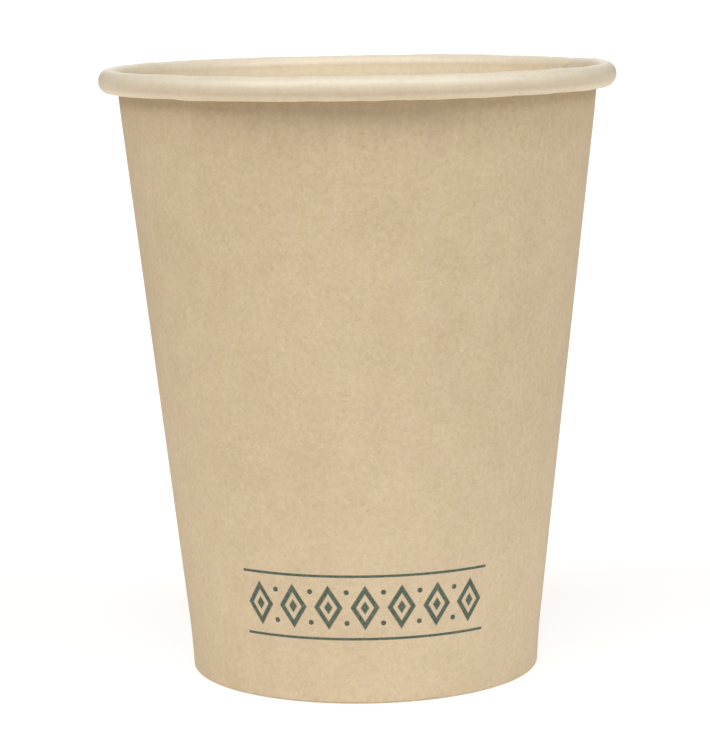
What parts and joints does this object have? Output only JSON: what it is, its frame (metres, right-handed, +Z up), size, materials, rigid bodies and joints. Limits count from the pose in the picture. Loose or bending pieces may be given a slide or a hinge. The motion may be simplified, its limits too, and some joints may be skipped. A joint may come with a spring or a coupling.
{
  "type": "paper cup",
  "caption": "Single-wall disposable paper cup for hot drinks: a conical kraft board wall with a lapped side seam, a rolled rim and a recessed, hemmed-in bottom.",
  "frame": {"origin": "centre of the ring that the cup stands on", "axes": "+Z up along the cup's axis, -Y the front, +X the right-hand side; the side seam is 18 degrees behind +X, towards +Y"},
  "size_m": [0.09, 0.09, 0.1063],
  "materials": {
    "kraft_board": "matt unbleached paperboard with fine fibres",
    "barrier_film": "satin translucent barrier coating over board",
    "melted_film": "barrier coating melted into a seam"
  },
  "bodies": {
    "root": {"sidewall": "kraft_board", "sidewall_lining": "barrier_film", "side_seam_seal": "melted_film", "bottom_disc": "kraft_board", "bottom_lining": "barrier_film", "bottom_seam_seal": "melted_film"}
  },
  "joints": []
}
